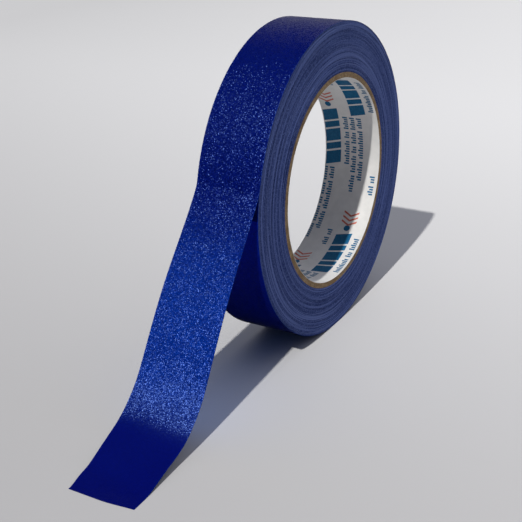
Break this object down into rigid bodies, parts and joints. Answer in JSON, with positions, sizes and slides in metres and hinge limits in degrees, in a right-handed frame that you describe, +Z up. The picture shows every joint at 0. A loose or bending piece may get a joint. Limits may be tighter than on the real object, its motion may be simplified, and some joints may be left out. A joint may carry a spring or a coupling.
{
  "type": "masking tape roll",
  "caption": "Roll of crepe paper masking tape on a paperboard core with a printed liner, its free end peeled off and hanging to the ground.",
  "frame": {"origin": "centre of the core's bore, halfway across the tape's width", "axes": "+Y along the roll's axis; +Z up when the roll stands on its edge; the free end of the tape leaves the roll on the -X side"},
  "size_m": [0.1917, 0.024, 0.1166],
  "materials": {
    "tape_backing": "satin",
    "adhesive": "satin",
    "wound_edges": "matte",
    "paperboard": "matte",
    "liner_paper": "matte"
  },
  "bodies": {
    "roll": {"core_liner": "liner_paper", "core_inner_ply": "paperboard", "core_second_ply": "paperboard", "core_third_ply": "paperboard", "core_outer_ply": "paperboard", "wound_tape": "wound_edges"},
    "outer_turn": {"outer_turn_backing": "tape_backing", "outer_turn_adhesive": "adhesive"},
    "tail_root": {"tail_root_backing": "tape_backing", "tail_root_adhesive": "adhesive"},
    "tail_upper": {"tail_upper_backing": "tape_backing", "tail_upper_adhesive": "adhesive"},
    "tail_lower": {"tail_lower_backing": "tape_backing", "tail_lower_adhesive": "adhesive"},
    "tail_bend": {"tail_bend_backing": "tape_backing", "tail_bend_adhesive": "adhesive"},
    "tail_foot": {"tail_foot_backing": "tape_backing", "tail_foot_adhesive": "adhesive"},
    "tail_end": {"tail_end_backing": "tape_backing", "tail_end_adhesive": "adhesive"}
  },
  "joints": [
    {"name": "unwind", "type": "hinge", "parent": "roll", "child": "outer_turn", "pos_m": [0, 0, 0], "axis": [0, 1, 0], "continuous": true},
    {"name": "peel", "type": "hinge", "parent": "outer_turn", "child": "tail_root", "pos_m": [-0.05624, 0, 0.01507], "axis": [0, 1, 0], "range_deg": [-9, 100], "stiffness_Nm_per_rad": 0.0002, "springref_deg": 35.98},
    {"name": "upper_flex", "type": "hinge", "parent": "tail_root", "child": "tail_upper", "pos_m": [-0.07035, 0, -0.00435], "axis": [0, 1, 0], "range_deg": [-22, 35], "stiffness_Nm_per_rad": 0.0002, "springref_deg": 22.8},
    {"name": "lower_flex", "type": "hinge", "parent": "tail_upper", "child": "tail_lower", "pos_m": [-0.08446, 0, -0.02376], "axis": [0, 1, 0], "range_deg": [-22, 35], "stiffness_Nm_per_rad": 0.0002, "springref_deg": 12.89},
    {"name": "bend_flex", "type": "hinge", "parent": "tail_lower", "child": "tail_bend", "pos_m": [-0.09856, 0, -0.04318], "axis": [0, 1, 0], "range_deg": [-33, 35], "stiffness_Nm_per_rad": 0.0002, "springref_deg": 6.07},
    {"name": "foot_flex", "type": "hinge", "parent": "tail_bend", "child": "tail_foot", "pos_m": [-0.1096, 0, -0.0518], "axis": [0, 1, 0], "range_deg": [-30, 30], "stiffness_Nm_per_rad": 0.0002, "springref_deg": 2.75},
    {"name": "end_flex", "type": "hinge", "parent": "tail_foot", "child": "tail_end", "pos_m": [-0.12551, 0, -0.05823], "axis": [0, 1, 0], "range_deg": [-35, 30], "stiffness_Nm_per_rad": 0.0002, "springref_deg": 0.29}
  ]
}
